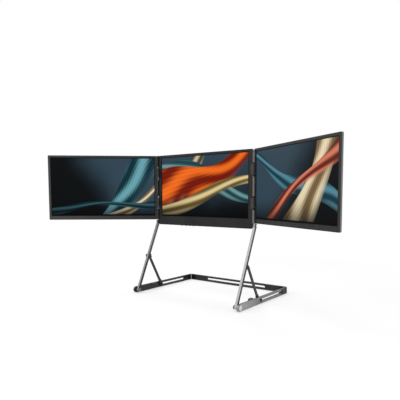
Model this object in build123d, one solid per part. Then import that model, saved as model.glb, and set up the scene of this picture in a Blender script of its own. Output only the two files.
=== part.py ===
from build123d import *

import os
from math import cos, radians, sin

# A centre screen with a thick chin and two hinged wing screens, carried by a folding stand.
# All sizes are in millimetres. X runs to the right, Y to the back and Z up. The origin lies on the floor,
# at the middle of the rear rail's rubber pad.

# Display, 15.6 inch class, 16:9
active_width = 344.2
active_height = 193.6
display_border = 3.0

# Centre screen
chin_height = 30.0
top_bezel = 7.7
centre_side_bezel = 13.5
centre_depth = 12.4
centre_bezel_thickness = 1.2
centre_wall = 1.4
centre_back_wall = 1.2
centre_corner_radius = 4.0
centre_display_thickness = 1.2
centre_backlight_thickness = 2.2

# Wing screens
wing_bottom_bezel = 13.8
wing_outer_bezel = 8.5
wing_inner_bezel = 9.4
wing_depth = 6.0
wing_bezel_thickness = 0.8
wing_wall = 1.0
wing_back_wall = 0.8
wing_corner_radius = 3.0
wing_display_thickness = 1.2
wing_backlight_thickness = 1.8
left_wing_angle = 40.0
right_wing_angle = 28.4
cover_edge_radius = 1.5

# Hinges between the screens. The right wing closes on the centre and the left wing closes on the right one.
closed_gap = 1.0
stack_gap = 0.8
right_hinge_drop = 3.1
left_hinge_drop = 3.5
hinge_side_gap = 2.3
hinge_block_height = 29.0
hinge_block_inset = 4.6
hinge_block_tail = 5.0
hinge_block_radius = 2.6
hinge_block_chamfer = 3.0
hinge_centre_spread = 97.4
hinge_pin_radius = 1.2
knuckle_radius = 2.0
knuckle_height = 5.5
left_nose_reach = 4.5
left_nose_thickness = 2.4
knuckle_gap = 0.3
leaf_web = 1.8
leaf_thickness = 1.1
leaf_reach = 12.0
leaf_inset = 1.6
wing_edge_gap = 0.3
left_strip_reach = 4.1
left_strip_seat = 5.0
left_strip_end_gap = 0.5

# Stand base
rail_height = 20.0
rail_thickness = 7.6
rail_edge_radius = 0.9
pad_height = 0.8
pad_width = 4.4
rear_pad_length = 160.0
side_pad_length = 50.0
side_pad_inset = 16.0
corner_leg = 31.0
corner_radius = 10.0
tongue_length = 14.0
tongue_thickness = 2.4
tongue_height = 12.0
corner_screw_radius = 1.5
corner_screw_head_radius = 2.6
corner_screw_head_height = 1.3
rear_slot_length = 248.4
slot_height = 6.8
slot_end_gap = 4.7
slot_recess_gap = 4.4

# Struts and braces. A strut turns at the rail's front end, the brace hangs on a bracket behind the strut, and
# the brace's foot runs in the rail's slot. Both pivot distances are equal, so the foot stays level.
strut_size = 8.2
strut_edge_radius = 0.8
strut_length = 241.8
strut_angle = 66.0
strut_foot_radius = 5.6
strut_eye_radius = 6.2
fold_angle = 54.0
fold_gap = 0.3
brace_length = 118.4
brace_lag = 4.4
brace_thickness = 4.0
brace_width = 8.4
brace_edge_radius = 0.5
brace_gap = 0.2
rail_side_gap = 0.4
strut_side_gap = 1.3
strut_screen_gap = 3.7
shoe_radius = 6.2
shoe_length = 17.0
front_pin_radius = 3.0
front_disc_radius = 7.5
front_disc_height = 1.0
small_edge_radius = 0.4
front_head_radius = 6.0
front_head_height = 3.0
head_edge_radius = 0.9
front_spacer_radius = 5.4
brace_pin_radius = 2.0
brace_pin_head_radius = 2.9
brace_pin_head_height = 1.2
foot_pin_clearance = 0.3
foot_pin_inner_head_radius = 4.4
foot_pin_outer_head_radius = 5.4
foot_pin_head_height = 1.2
bracket_length = 17.0
bracket_side_inset = 0.9
bracket_tongue_length = 11.0
bracket_tongue_height = 6.4
bracket_tongue_thickness = 2.8
knob_pin_radius = 1.6
knob_neck_radius = 3.4
knob_radius = 5.5
knob_height = 2.5
strut_rest_length = 14.0
strut_rest_gap = 25.0
strut_rest_height = 6.4
strut_rest_rise = 1.6

# Tilt pivot in the chin's ends
tilt_setback = 4.6
tilt_height = 9.4
tilt_pin_radius = 2.0
tilt_pin_length = 35.0
tilt_head_radius = 4.4
tilt_head_height = 1.4
tilt_washer_radius = 6.6
tilt_barrel_radius = 3.3
tilt_web_height = 3.3
tilt_barrel_length = 24.0
tilt_plate_length = 30.0
tilt_plate_inset = 3.0
tilt_plate_height = 22.0
tilt_plate_thickness = 1.2

# Buttons under the chin
button_count = 4
button_pitch = 16.0
button_side_inset = 99.6
button_setback = 4.6
button_length = 7.0
button_width = 3.4
button_drop = 1.2
button_flange = 0.5
button_flange_height = 0.6
button_travel = 0.6
switch_length = 4.4
switch_width = 3.2
switch_height = 1.2
button_board_width = 4.8
button_board_thickness = 1.0
button_board_overhang = 9.0

# Boards, sockets and speakers
main_board_length = 150.0
main_board_height = 21.0
main_board_thickness = 1.2
main_board_setback = 7.0
board_floor_gap = 3.2
usb_width = 9.4
usb_height = 3.6
video_width = 11.6
video_height = 3.8
socket_wall = 0.4
socket_base = 1.2
socket_tongue = 0.7
usb_x = [48.0, 28.0]
video_x = 4.0
socket_rise = 11.0
speaker_length = 60.0
speaker_height = 15.0
speaker_corner_radius = 1.5
speaker_depth = 5.6
speaker_side_inset = 57.0
driver_board_length = 150.0
driver_board_height = 8.0
driver_board_thickness = 1.0
cover_screw_radius = 1.3
cover_screw_head_radius = 2.2
cover_screw_head_height = 0.7
cover_screw_length = 5.0
boss_radius = 3.0
boss_inset = 9.0
lower_boss_rise = 40.0

# Clearances
running_clearance = 0.05
fixed_clearance = 0.02
cut_clearance = 0.2
overcut = 1.0

# Places across the stand, from the centre screen outwards
centre_half_width = active_width / 2 + centre_side_bezel
strut_inner = centre_half_width + strut_screen_gap
strut_outer = strut_inner + strut_size
strut_x = (strut_outer + strut_inner) / 2
brace_outer = strut_outer + strut_side_gap
brace_inner = brace_outer - brace_thickness
brace_x = (brace_outer + brace_inner) / 2
rail_inner = brace_outer + rail_side_gap
rail_outer = rail_inner + rail_thickness
rail_middle_x = (rail_outer + rail_inner) / 2
rear_rail_end = rail_outer - corner_leg

# Places along the stand. The foot's travel, from raised to folded, sets the length of the side rails.
rail_middle_height = pad_height + rail_height / 2
brace_angle = strut_angle - brace_lag
foot_reach = 2 * brace_length * cos(radians(brace_angle))
folded_foot_reach = 2 * brace_length * cos(radians(brace_angle - fold_angle))
side_rail_rear = rail_thickness / 2 - corner_leg
foot_pin_radius = slot_height / 2 - foot_pin_clearance
folded_foot_y = side_rail_rear - tongue_length - cut_clearance - slot_end_gap - slot_height / 2
pivot_y = folded_foot_y - folded_foot_reach
foot_y = pivot_y + foot_reach
brace_pivot_y = pivot_y + foot_reach / 2
brace_pivot_z = rail_middle_height + brace_length * sin(radians(brace_angle))
brace_along = brace_length * cos(radians(brace_lag))
brace_behind = brace_length * sin(radians(brace_lag))
tilt_y = pivot_y + strut_length * cos(radians(strut_angle))
tilt_z = rail_middle_height + strut_length * sin(radians(strut_angle))

# Places on the screens
screen_y = tilt_y - tilt_setback
screen_z = tilt_z - tilt_height
centre_height = chin_height + active_height + top_bezel
active_z = screen_z + chin_height
centre_back_inside = screen_y + centre_depth - centre_back_wall
wing_width = wing_inner_bezel + active_width + wing_outer_bezel
wing_height = wing_bottom_bezel + active_height + top_bezel
wing_z = active_z - wing_bottom_bezel
hinge_x = centre_half_width + hinge_side_gap
hinge_middle_z = wing_z + wing_height / 2
hinge_heights = [hinge_middle_z - hinge_centre_spread / 2, hinge_middle_z + hinge_centre_spread / 2]
hinge_stack = hinge_block_height / 2 + knuckle_gap + knuckle_height
speaker_x = centre_half_width - speaker_side_inset
first_button_x = button_side_inset - centre_half_width
button_xs = [first_button_x + button_pitch * number for number in range(button_count)]
button_y = screen_y + button_setback
button_clear_height = button_flange_height + button_travel + cut_clearance
button_board_z = screen_z + centre_wall + button_clear_height + switch_height


def block(x_low, x_high, y_low, y_high, z_low, z_high):
    """A box between two corners."""
    size = Box(x_high - x_low, y_high - y_low, z_high - z_low)
    return Pos((x_low + x_high) / 2, (y_low + y_high) / 2, (z_low + z_high) / 2) * size


def rod_x(x_low, x_high, y, z, radius):
    """A cylinder that lies along X."""
    return Pos((x_low + x_high) / 2, y, z) * Rot(0, 90, 0) * Cylinder(radius, x_high - x_low)


def rod_y(x, y_low, y_high, z, radius):
    """A cylinder that lies along Y."""
    return Pos(x, (y_low + y_high) / 2, z) * Rot(90, 0, 0) * Cylinder(radius, y_high - y_low)


def rod_z(x, y, z_low, z_high, radius):
    """A cylinder that stands along Z."""
    return Pos(x, y, (z_low + z_high) / 2) * Cylinder(radius, z_high - z_low)


def to_left(shape):
    """The same piece on the other side of the stand."""
    return mirror(shape, about=Plane.YZ)


def both_sides(shape):
    """One group of two solids, the right one and its mirror image."""
    return Compound(children=[shape, to_left(shape)])


def group(shapes):
    """Separate solids that share one node."""
    return Compound(children=shapes)


def save(shape, node):
    """Write one node's file."""
    export_step(shape, f"parts/{node}.step")


def soften(shape, axis, radius, joints=()):
    """Round the outlines of the two end faces along an axis, except where the shape meets its neighbour."""
    faces = shape.faces().sort_by(axis)
    edges = faces[0].edges() + faces[-1].edges()
    for across, place in joints:
        edges = [edge for edge in edges if abs(edge.center().dot(across.direction) - place) > fixed_clearance]
    return fillet(edges, radius)


def soften_rim(shape, end, radius):
    """Round the rim of the first (0) or the last (-1) end face along X."""
    return fillet(shape.faces().sort_by(Axis.X)[end].edges(), radius)


def rounded_plate(x_low, x_high, y_low, y_high, z_low, z_high, radius):
    """A plate that faces the front, with rounded corners in its face."""
    plate = block(x_low, x_high, y_low, y_high, z_low, z_high)
    return fillet(plate.edges().filter_by(Axis.Y), radius)


def tray(x_low, x_high, y_low, y_high, z_low, z_high, radius, wall, back_wall):
    """A rear cover: open at the front, with rounded corners and a softened back edge."""
    body = rounded_plate(x_low, x_high, y_low, y_high, z_low, z_high, radius)
    body = fillet(body.faces().sort_by(Axis.Y)[-1].edges(), cover_edge_radius)
    hollow = rounded_plate(
        x_low + wall,
        x_high - wall,
        y_low - overcut,
        y_high - back_wall,
        z_low + wall,
        z_high - wall,
        radius - wall,
    )
    return body - hollow


def frame(x_low, x_high, y_low, y_high, z_low, z_high, radius, window_x, window_z):
    """A flat bezel with a rounded outline and a window the size of the lit area."""
    plate = rounded_plate(x_low, x_high, y_low, y_high, z_low, z_high, radius)
    window = block(
        window_x,
        window_x + active_width,
        y_low - overcut,
        y_high + overcut,
        window_z,
        window_z + active_height,
    )
    return plate - window


def bar_profile(length, width, thickness, start_radius, end_radius):
    """A bar along Y from the origin, with a round eye at each end."""
    bar = block(-thickness / 2, thickness / 2, 0, length, -width / 2, width / 2)
    start = rod_x(-thickness / 2, thickness / 2, 0, 0, start_radius)
    end = rod_x(-thickness / 2, thickness / 2, length, 0, end_radius)
    return bar + start + end


def slot_cut(y_low, y_high, z, radius, x_low, x_high):
    """A round-ended slot that runs along Y, between the middles of its two ends."""
    middle = block(x_low, x_high, y_low, y_high, z - radius, z + radius)
    return middle + rod_x(x_low, x_high, y_low, z, radius) + rod_x(x_low, x_high, y_high, z, radius)


def socket_place(x):
    """Where a socket's middle stands on the back of the chin."""
    return Pos(x, 0, screen_z + socket_rise)


def side_rail():
    """The right rail: a bar on edge, round at the front, with the slot for the brace's foot."""
    low = rail_inner - overcut
    high = rail_outer + overcut
    bar = block(rail_inner, rail_outer, pivot_y, side_rail_rear, pad_height, pad_height + rail_height)
    bar += rod_x(rail_inner, rail_outer, pivot_y, rail_middle_height, rail_height / 2)
    bar = soften(bar, Axis.X, rail_edge_radius, [(Axis.Y, side_rail_rear)])
    bar -= slot_cut(foot_y, folded_foot_y, rail_middle_height, slot_height / 2, low, high)
    bar -= slot_recess()
    bar -= rod_x(low, high, pivot_y, rail_middle_height, front_pin_radius + fixed_clearance)
    return bar - side_tongue(cut_clearance) - side_screw(fixed_clearance)


def slot_recess():
    """The end of the slot on the rail's outer face, only as deep as the tongue that shows in it."""
    radius = slot_height / 2
    y_high = side_rail_rear - slot_recess_gap - radius
    floor = rail_middle_x + tongue_thickness / 2
    return slot_cut(folded_foot_y, y_high, rail_middle_height, radius, floor, rail_outer + overcut)


def rear_rail():
    """The rear rail between the two corner pieces, with its long slot."""
    low = -rail_thickness / 2 - overcut
    high = rail_thickness / 2 + overcut
    radius = slot_height / 2
    straight = rear_slot_length / 2 - radius
    bar = block(
        -rear_rail_end, rear_rail_end, low + overcut, high - overcut, pad_height, pad_height + rail_height
    )
    bar = soften(bar, Axis.Y, rail_edge_radius, [(Axis.X, -rear_rail_end), (Axis.X, rear_rail_end)])
    bar -= block(-straight, straight, low, high, rail_middle_height - radius, rail_middle_height + radius)
    for x in (-straight, straight):
        bar -= rod_y(x, low, high, rail_middle_height, radius)
    cut = rear_tongue(cut_clearance) + rear_screw(fixed_clearance)
    return bar - cut - to_left(cut)


def side_tongue(clearance):
    """The corner piece's tongue in the side rail, or with a clearance the pocket for it."""
    half = (tongue_thickness + clearance) / 2
    half_height = (tongue_height + clearance) / 2
    return block(
        rail_middle_x - half,
        rail_middle_x + half,
        side_rail_rear - tongue_length - clearance,
        side_rail_rear + overcut,
        rail_middle_height - half_height,
        rail_middle_height + half_height,
    )


def rear_tongue(clearance):
    """The corner piece's tongue in the rear rail, or with a clearance the pocket for it."""
    half = (tongue_thickness + clearance) / 2
    half_height = (tongue_height + clearance) / 2
    return block(
        rear_rail_end - tongue_length - clearance,
        rear_rail_end + overcut,
        -half,
        half,
        rail_middle_height - half_height,
        rail_middle_height + half_height,
    )


def side_screw(clearance):
    """A countersunk screw through the side rail's inner wall and the tongue."""
    y = side_rail_rear - tongue_length / 2
    tip = rail_middle_x + tongue_thickness / 2
    neck = rail_inner + corner_screw_head_height
    shank = rod_x(rail_inner, tip, y, rail_middle_height, corner_screw_radius + clearance)
    return shank + rod_x(rail_inner, neck, y, rail_middle_height, corner_screw_head_radius + clearance)


def rear_screw(clearance):
    """A countersunk screw through the rear rail's inner wall and the tongue."""
    x = rear_rail_end - tongue_length / 2
    face = -rail_thickness / 2
    neck = face + corner_screw_head_height
    shank = rod_y(x, face, tongue_thickness / 2, rail_middle_height, corner_screw_radius + clearance)
    return shank + rod_y(x, face, neck, rail_middle_height, corner_screw_head_radius + clearance)


def corner_piece():
    """The right rear corner: a bent bar with a tongue into each rail."""
    half = rail_thickness / 2
    top = pad_height + rail_height
    outer = block(rear_rail_end, rail_outer, side_rail_rear, half, pad_height, top)
    outer_edge = outer.edges().filter_by(Axis.Z).sort_by(Axis.X)[-2:].sort_by(Axis.Y)[-1]
    outer = fillet(outer_edge, corner_radius)
    inner_low = pad_height - overcut
    inner = block(
        rear_rail_end - overcut, rail_inner, side_rail_rear - overcut, -half, inner_low, top + overcut
    )
    inner_edge = inner.edges().filter_by(Axis.Z).sort_by(Axis.X)[-2:].sort_by(Axis.Y)[-1]
    inner = fillet(inner_edge, corner_radius - rail_thickness)
    joints = [(Axis.X, rear_rail_end), (Axis.Y, side_rail_rear)]
    piece = soften(outer - inner, Axis.Z, rail_edge_radius, joints)
    piece += side_tongue(0) + rear_tongue(0)
    return piece - side_screw(fixed_clearance) - rear_screw(fixed_clearance)


def side_pads():
    """The rubber pads under the right rail."""
    low = rail_middle_x - pad_width / 2
    high = rail_middle_x + pad_width / 2
    starts = [pivot_y + side_pad_inset, side_rail_rear - side_pad_inset - side_pad_length]
    return [block(low, high, y, y + side_pad_length, 0, pad_height) for y in starts]


def strut_rest():
    """The black block on the rail's inner side, with a sloping seat for the folded strut."""
    rear = foot_y - shoe_radius - strut_rest_gap
    top = pad_height + rail_height + strut_rest_rise
    rest = block(strut_inner, rail_inner, rear - strut_rest_length, rear, top - strut_rest_height, top)
    half = strut_size / 2
    above = block(-strut_size, strut_size, 0, strut_length, -half - fold_gap, strut_size)
    folded = Pos(strut_x, pivot_y, rail_middle_height) * Rot(strut_angle - fold_angle, 0, 0) * above
    return rest - folded


def front_pin():
    """The pin that the right strut turns on, with its outer disc and inner head."""
    pin = rod_x(strut_inner - cut_clearance, rail_outer, pivot_y, rail_middle_height, front_pin_radius)
    disc_outer = rail_outer + front_disc_height
    disc = rod_x(rail_outer, disc_outer, pivot_y, rail_middle_height, front_disc_radius)
    head_outer = strut_inner - cut_clearance
    head = rod_x(head_outer - front_head_height, head_outer, pivot_y, rail_middle_height, front_head_radius)
    return pin + soften_rim(disc, -1, small_edge_radius) + soften_rim(head, 0, head_edge_radius)


def front_spacer():
    """The spacer on the front pin, between the strut and the rail."""
    low = strut_outer + cut_clearance
    high = rail_inner
    ring = rod_x(low, high, pivot_y, rail_middle_height, front_spacer_radius)
    return ring - rod_x(
        low - overcut, high + overcut, pivot_y, rail_middle_height, front_pin_radius + running_clearance
    )


def place_strut(shape):
    """From the strut's own frame, which starts at its foot and runs along Y, to its place on the stand."""
    return Pos(strut_x, pivot_y, rail_middle_height) * Rot(strut_angle, 0, 0) * shape


def strut():
    """The right strut: a square bar, leaning back, with its bores and the pocket for the bracket's tongue."""
    bar = bar_profile(strut_length, strut_size, strut_size, strut_foot_radius, strut_eye_radius)
    bar = soften(bar, Axis.X, strut_edge_radius)
    half = strut_size / 2
    bar -= rod_x(-half - overcut, half + overcut, 0, 0, front_pin_radius + running_clearance)
    bar -= rod_x(-half - overcut, half + overcut, strut_length, 0, tilt_pin_radius + running_clearance)
    bar -= bracket_tongue(fixed_clearance)
    bar -= rod_x(0, half + overcut, brace_along, 0, knob_pin_radius + fixed_clearance)
    return place_strut(bar)


def bracket_tongue(clearance):
    """The bracket's tongue in the strut, in the strut's own frame."""
    half = bracket_tongue_length / 2 + clearance
    side = bracket_tongue_thickness / 2 + clearance
    rear = -strut_size / 2
    front = rear + bracket_tongue_height
    return block(
        -side, side, brace_along - half, brace_along + half, rear - clearance, front + clearance
    )


def brace_bracket():
    """The black bracket behind the strut that carries the brace's pivot."""
    inner = -strut_size / 2 + bracket_side_inset
    outer = brace_inner - brace_gap - strut_x
    half = bracket_length / 2
    bracket = block(inner, outer, brace_along - half, brace_along + half, -brace_behind, -strut_size / 2)
    bracket += rod_x(inner, outer, brace_along, -brace_behind, brace_width / 2)
    bracket += bracket_tongue(0)
    pin_hole = brace_pin_radius + fixed_clearance
    bracket -= rod_x(inner - overcut, outer + overcut, brace_along, -brace_behind, pin_hole)
    bracket -= rod_x(-strut_size, strut_size, brace_along, 0, knob_pin_radius + fixed_clearance)
    return place_strut(bracket)


def brace_pin():
    """The pin in the bracket that the brace turns on, with its small outer head."""
    inner = -strut_size / 2 + bracket_side_inset
    outer = brace_outer + brace_gap - strut_x
    pin = rod_x(inner, outer, brace_along, -brace_behind, brace_pin_radius)
    head = rod_x(outer, outer + brace_pin_head_height, brace_along, -brace_behind, brace_pin_head_radius)
    return place_strut(pin + soften_rim(head, -1, small_edge_radius))


def bracket_knob():
    """The round black knob on the strut's outer side, whose pin holds the bracket's tongue."""
    neck = brace_outer + brace_gap - strut_x
    half = strut_size / 2
    knob = rod_x(-bracket_tongue_thickness / 2, half, brace_along, 0, knob_pin_radius)
    knob += rod_x(half, neck, brace_along, 0, knob_neck_radius)
    cap = rod_x(neck, neck + knob_height, brace_along, 0, knob_radius)
    return place_strut(knob + soften_rim(cap, -1, head_edge_radius))


def place_brace(shape):
    """From the brace's own frame, which starts at its upper pivot, to its place on the stand."""
    return Pos(brace_x, brace_pivot_y, brace_pivot_z) * Rot(-brace_angle, 0, 0) * shape


def shoe_body():
    """The foot's shoe at the brace's lower end, in the brace's own frame."""
    half = brace_thickness / 2
    body = block(-half, half, brace_length - shoe_length, brace_length, -shoe_radius, shoe_radius)
    body += rod_x(-half, half, brace_length, 0, shoe_radius)
    return soften(body, Axis.X, brace_edge_radius, [(Axis.Y, brace_length - shoe_length)])


def brace():
    """The right brace: a flat bar with an eye at the top."""
    half = brace_thickness / 2
    bar = block(-half, half, 0, brace_length, -brace_width / 2, brace_width / 2)
    bar += rod_x(-half, half, 0, 0, brace_width / 2)
    bar = soften(bar, Axis.X, brace_edge_radius)
    bar -= rod_x(-half - overcut, half + overcut, 0, 0, brace_pin_radius + running_clearance)
    end = block(-half, half, brace_length - shoe_length, brace_length, -brace_width, brace_width)
    return place_brace(bar - end)


def brace_shoe():
    """The dark shoe on the brace's lower end."""
    half = brace_thickness / 2
    hole = rod_x(-half - overcut, half + overcut, brace_length, 0, foot_pin_radius + fixed_clearance)
    return place_brace(shoe_body() - hole)


def foot_pin():
    """The pin that runs in the rail's slot, with a head on each side."""
    inner = brace_inner
    outer = rail_outer + cut_clearance
    pin = rod_x(inner, outer, foot_y, rail_middle_height, foot_pin_radius)
    tip = inner - foot_pin_head_height
    inner_head = rod_x(tip, inner, foot_y, rail_middle_height, foot_pin_inner_head_radius)
    tip = outer + foot_pin_head_height
    outer_head = rod_x(outer, tip, foot_y, rail_middle_height, foot_pin_outer_head_radius)
    return pin + soften_rim(inner_head, 0, small_edge_radius) + soften_rim(outer_head, -1, small_edge_radius)


def tilt_pin():
    """The pin that the screens tilt on, fixed in the chin's bracket."""
    outer = strut_outer + cut_clearance
    pin = rod_x(outer - tilt_pin_length, outer, tilt_y, tilt_z, tilt_pin_radius)
    head = rod_x(outer, outer + tilt_head_height, tilt_y, tilt_z, tilt_head_radius)
    return pin + soften_rim(head, -1, small_edge_radius)


def tilt_washer():
    """The washer between the chin's end and the strut's eye."""
    low = centre_half_width
    high = strut_inner - cut_clearance / 2
    ring = rod_x(low, high, tilt_y, tilt_z, tilt_washer_radius)
    return ring - rod_x(low - overcut, high + overcut, tilt_y, tilt_z, tilt_pin_radius + fixed_clearance)


def tilt_bracket():
    """The steel bracket in the chin: a barrel round the tilt pin on a plate that lies on the rear cover."""
    outer = centre_half_width - centre_wall
    barrel = rod_x(outer - tilt_barrel_length, outer, tilt_y, tilt_z, tilt_barrel_radius)
    plate_front = centre_back_inside - tilt_plate_thickness
    web = block(
        outer - tilt_barrel_length,
        outer,
        tilt_y,
        plate_front,
        tilt_z - tilt_web_height / 2,
        tilt_z + tilt_web_height / 2,
    )
    plate_bottom = screen_z + centre_wall + cut_clearance
    plate = block(
        outer - tilt_plate_inset - tilt_plate_length,
        outer - tilt_plate_inset,
        plate_front,
        centre_back_inside,
        plate_bottom,
        plate_bottom + tilt_plate_height,
    )
    inner = outer - tilt_barrel_length
    bore = rod_x(inner - overcut, outer + overcut, tilt_y, tilt_z, tilt_pin_radius + fixed_clearance)
    return barrel + web + plate - bore


def boss_places():
    """Where the rear cover is screwed: near its upper corners and beside the chin's top."""
    x = centre_half_width - centre_wall - boss_inset
    low = screen_z + lower_boss_rise
    high = screen_z + centre_height - centre_wall - boss_inset
    return [(x, low), (-x, low), (0, low), (x, high), (-x, high), (0, high)]


def cover_screw(x, z, clearance):
    """A countersunk screw in the back of the centre cover."""
    back = screen_y + centre_depth
    shank = rod_y(x, back - cover_screw_length, back, z, cover_screw_radius + clearance)
    return shank + rod_y(x, back - cover_screw_head_height, back, z, cover_screw_head_radius + clearance)


def socket_outline(width, height, y_low, y_high):
    """A round-ended socket body that faces the back."""
    radius = height / 2
    straight = width / 2 - radius
    body = block(-straight, straight, y_low, y_high, -radius, radius)
    for x in (-straight, straight):
        body += rod_y(x, y_low, y_high, 0, radius)
    return body


def socket(x, width, height):
    """A socket on the main board, with its hollow mouth and the tongue in it."""
    front = screen_y + main_board_setback + main_board_thickness
    back = screen_y + centre_depth
    shell = socket_outline(width, height, front, back)
    mouth = socket_outline(
        width - 2 * socket_wall, height - 2 * socket_wall, front + socket_base, back + overcut
    )
    inner_width = width - height
    tongue = block(
        -inner_width / 2,
        inner_width / 2,
        front + socket_wall,
        back - socket_tongue,
        -socket_tongue / 2,
        socket_tongue / 2,
    )
    return socket_place(x) * (shell - mouth + tongue)


def hinge_notch(z):
    """The notch in the right side of the centre screen for one hinge block."""
    half = hinge_block_height / 2 + cut_clearance / 2
    inner = centre_half_width - hinge_block_inset - cut_clearance / 2
    return block(
        inner,
        centre_half_width + overcut,
        screen_y - overcut,
        screen_y + hinge_block_tail + cut_clearance / 2,
        z - half,
        z + half,
    )


def centre_cover():
    """The aluminium rear cover of the centre screen."""
    x = centre_half_width
    y_low = screen_y + centre_bezel_thickness
    y_high = screen_y + centre_depth
    z_high = screen_z + centre_height
    cover = tray(
        -x, x, y_low, y_high, screen_z, z_high, centre_corner_radius, centre_wall, centre_back_wall
    )
    boss_front = screen_y + centre_bezel_thickness + centre_display_thickness + centre_backlight_thickness
    for boss_x, boss_z in boss_places():
        cover += rod_y(boss_x, boss_front, y_high - centre_back_wall / 2, boss_z, boss_radius)
        cover -= cover_screw(boss_x, boss_z, fixed_clearance)
    for side in (-1, 1):
        low, high = sorted((side * (x - centre_wall - overcut), side * (x + overcut)))
        cover -= rod_x(low, high, tilt_y, tilt_z, tilt_pin_radius + cut_clearance)
    for z in hinge_heights:
        cover = cover - hinge_notch(z) - to_left(hinge_notch(z))
    for button_x in button_xs:
        cover -= button_column(button_x, cut_clearance, screen_z - overcut, screen_z + centre_wall + overcut)
    for socket_x, width, height in sockets():
        cover -= socket_place(socket_x) * socket_outline(
            width + cut_clearance, height + cut_clearance, centre_back_inside - overcut, y_high + overcut
        )
    return cover


def sockets():
    """Each socket's place along the chin, with its width and height."""
    return [(x, usb_width, usb_height) for x in usb_x] + [(video_x, video_width, video_height)]


def centre_bezel():
    """The dark front of the centre screen, with the chin."""
    x = centre_half_width
    bezel = frame(
        -x,
        x,
        screen_y,
        screen_y + centre_bezel_thickness,
        screen_z,
        screen_z + centre_height,
        centre_corner_radius,
        -active_width / 2,
        active_z,
    )
    for z in hinge_heights:
        bezel = bezel - hinge_notch(z) - to_left(hinge_notch(z))
    return bezel


def centre_module(start, thickness):
    """One flat layer of the centre display, a little larger than the lit area."""
    return block(
        -active_width / 2 - display_border,
        active_width / 2 + display_border,
        screen_y + start,
        screen_y + start + thickness,
        active_z - display_border,
        active_z + active_height + display_border,
    )


def button_column(x, clearance, z_low, z_high):
    """A round-ended upright column, the shape of a button or its hole."""
    radius = button_width / 2 + clearance
    straight = (button_length - button_width) / 2
    column = block(x - straight, x + straight, button_y - radius, button_y + radius, z_low, z_high)
    for end in (x - straight, x + straight):
        column += rod_z(end, button_y, z_low, z_high, radius)
    return column


def button(x):
    """A button cap with the flange that keeps it in the cover."""
    inside = screen_z + centre_wall + running_clearance
    cap = button_column(x, 0, screen_z - button_drop, inside)
    return cap + button_column(x, button_flange, inside, inside + button_flange_height)


def button_board():
    """The narrow board above the buttons."""
    half = button_board_width / 2
    return block(
        button_xs[0] - button_board_overhang,
        button_xs[-1] + button_board_overhang,
        button_y - half,
        button_y + half,
        button_board_z,
        button_board_z + button_board_thickness,
    )


def switch(x):
    """A small push switch under the button board."""
    half_length = switch_length / 2
    half_width = switch_width / 2
    return block(
        x - half_length,
        x + half_length,
        button_y - half_width,
        button_y + half_width,
        button_board_z - switch_height,
        button_board_z,
    )


def main_board():
    """The main board, upright in the chin behind the button board."""
    bottom = screen_z + board_floor_gap
    return block(
        -main_board_length / 2,
        main_board_length / 2,
        screen_y + main_board_setback,
        screen_y + main_board_setback + main_board_thickness,
        bottom,
        bottom + main_board_height,
    )


def speaker():
    """The right speaker box, lying behind the chin's front."""
    bottom = screen_z + centre_wall + cut_clearance
    front = screen_y + centre_bezel_thickness
    low = speaker_x - speaker_length / 2
    high = speaker_x + speaker_length / 2
    box = block(low, high, front, front + speaker_depth, bottom, bottom + speaker_height)
    return fillet(box.edges().filter_by(Axis.Y), speaker_corner_radius)


def hinge_front(drop, gap):
    """How far in front of the centre screen's face a hinge axis lies, from its wing's closed gap."""
    return gap - drop


def hinge_block(z, ahead):
    """A hinge block on the right side: its tail sits in the centre's notch, its round end holds the pin."""
    half = hinge_block_height / 2
    axis_y = screen_y - ahead
    inner = centre_half_width - hinge_block_inset
    radius = hinge_block_radius
    body = block(inner, centre_half_width, axis_y - radius, screen_y + hinge_block_tail, z - half, z + half)
    body += block(centre_half_width - overcut, hinge_x, axis_y - radius, axis_y + radius, z - half, z + half)
    body += rod_z(hinge_x, axis_y, z - half, z + half, radius)
    tip = hinge_x + radius
    start = tip - hinge_block_chamfer
    outline = Polyline(
        (inner, z - half),
        (start, z - half),
        (tip, z - half + hinge_block_chamfer),
        (tip, z + half - hinge_block_chamfer),
        (start, z + half),
        (inner, z + half),
        close=True,
    )
    keep = extrude(Plane.XZ * make_face(outline), amount=centre_depth * 2, both=True)
    keep = Pos(0, screen_y, 0) * keep
    bore = rod_z(hinge_x, axis_y, z - half - overcut, z + half + overcut, hinge_pin_radius + fixed_clearance)
    return (body & keep) - bore


def hinge_pin(z, ahead):
    """A hinge pin, as long as its block and both knuckles."""
    return rod_z(hinge_x, screen_y - ahead, z - hinge_stack, z + hinge_stack, hinge_pin_radius)


def left_strips():
    """The dark strips on the centre's left side. They fill the space behind the raised left hinges."""
    clear = hinge_stack + left_strip_end_gap
    low, high = hinge_heights
    spans = [(wing_z, low - clear), (low + clear, high - clear), (high + clear, wing_z + wing_height)]
    front = screen_y - left_strip_reach
    back = screen_y + left_strip_seat
    outer = centre_half_width + hinge_side_gap - cut_clearance
    return [
        to_left(block(centre_half_width, outer, front, back, z_low, z_high)) for z_low, z_high in spans
    ]


def place_wing(shape, ahead, angle):
    """From a wing's own frame, which has the hinge axis at its origin, to its place on the right."""
    return Pos(hinge_x, screen_y - ahead, 0) * Rot(0, 0, -angle) * shape


def knuckle_nose(low, high):
    """The nose on a left knuckle, which covers the space between the knuckle and the centre's corner."""
    half = left_nose_thickness / 2
    tip = half - left_nose_reach
    return block(tip, 0, -half, half, low, high) + rod_z(tip, 0, low, high, half)


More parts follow.
